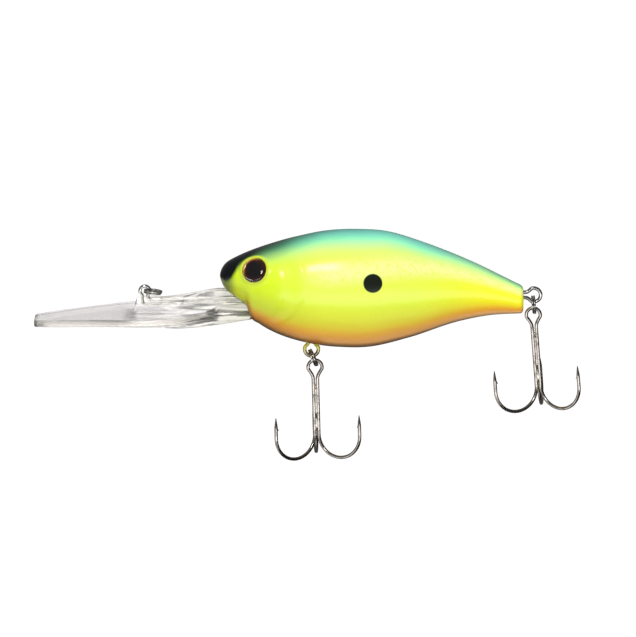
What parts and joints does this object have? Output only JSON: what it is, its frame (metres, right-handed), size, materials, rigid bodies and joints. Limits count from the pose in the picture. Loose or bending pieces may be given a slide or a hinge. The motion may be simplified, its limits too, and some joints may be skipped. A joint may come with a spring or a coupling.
{
  "type": "crankbait lure",
  "caption": "Deep-diving crankbait lure: painted two-part hollow body, clear diving lip with line tie, treble hooks swinging on split rings.",
  "frame": {"origin": "middle of the line-tie eye, where the line's ring hangs on the wire", "axes": "+X from the lip towards the tail, +Z towards the back, +Y towards the lure's right flank"},
  "size_m": [0.131, 0.0302, 0.0558],
  "materials": {
    "painted_body": "airbrushed chartreuse with teal back, orange belly and black nose under clear gloss",
    "clear_lip": "clear moulded polycarbonate",
    "plated_wire": "bright nickel plate",
    "painted_wire": "wire oversprayed with the body's yellow",
    "split_ring": "nickel plated flat wire",
    "hook_wire": "black nickel",
    "printed_iris": "printed foil, dark red with a black pupil",
    "clear_lens": "clear domed resin",
    "cast_weight": "dull cast lead",
    "rattle_steel": "polished ball steel"
  },
  "bodies": {
    "lure": {"body_shell_left": "painted_body", "body_shell_right": "painted_body", "diving_lip": "clear_lip", "line_tie_wire": "plated_wire", "belly_hanger_wire": "painted_wire", "tail_hanger_wire": "plated_wire", "eye_disc_left": "printed_iris", "eye_disc_right": "printed_iris", "eye_lens_left": "clear_lens", "eye_lens_right": "clear_lens", "belly_weight": "cast_weight"},
    "line_tie_ring": {"line_tie_split_ring": "split_ring"},
    "belly_ring": {"belly_split_ring": "split_ring"},
    "belly_treble": {"belly_treble_double_hook": "hook_wire", "belly_treble_single_hook": "hook_wire"},
    "tail_ring": {"tail_split_ring": "split_ring"},
    "tail_treble": {"tail_treble_double_hook": "hook_wire", "tail_treble_single_hook": "hook_wire"},
    "ball_1": {"rattle_ball_1": "rattle_steel"},
    "ball_2": {"rattle_ball_2": "rattle_steel"},
    "ball_3": {"rattle_ball_3": "rattle_steel"}
  },
  "joints": [
    {"name": "line_tie_ring_flip", "type": "hinge", "parent": "lure", "child": "line_tie_ring", "pos_m": [0, 0, 0], "axis": [0, -1, 0], "range_deg": [0, 190]},
    {"name": "belly_ring_swing", "type": "hinge", "parent": "lure", "child": "belly_ring", "pos_m": [0.03996, 0, -0.0158], "axis": [1, 0, 0], "range_deg": [-50, 50]},
    {"name": "belly_treble_swing", "type": "hinge", "parent": "belly_ring", "child": "belly_treble", "pos_m": [0.0408, 0, -0.0182], "axis": [0, 1, 0], "range_deg": [-45, 55]},
    {"name": "tail_ring_swing", "type": "hinge", "parent": "lure", "child": "tail_ring", "pos_m": [0.0933, 0, -0.0026], "axis": [1, 0, 0], "range_deg": [-60, 60]},
    {"name": "tail_treble_swing", "type": "hinge", "parent": "tail_ring", "child": "tail_treble", "pos_m": [0.09317, 0, -0.0053], "axis": [0, 1, 0], "range_deg": [-95, 50]},
    {"name": "rattle_ball_2_roll", "type": "slide", "parent": "lure", "child": "ball_2", "axis": [1, 0, 0], "range_m": [-0.002, 0.002]},
    {"name": "rattle_ball_1_roll", "type": "slide", "parent": "lure", "child": "ball_1", "axis": [1, 0, 0], "range_m": [-0.002, 0.002]},
    {"name": "rattle_ball_3_roll", "type": "slide", "parent": "lure", "child": "ball_3", "axis": [1, 0, 0], "range_m": [-0.002, 0.002]}
  ],
  "couplings": [
    {"joint": "rattle_ball_1_roll", "follows": "rattle_ball_2_roll", "ratio": 1},
    {"joint": "rattle_ball_3_roll", "follows": "rattle_ball_2_roll", "ratio": 1}
  ]
}
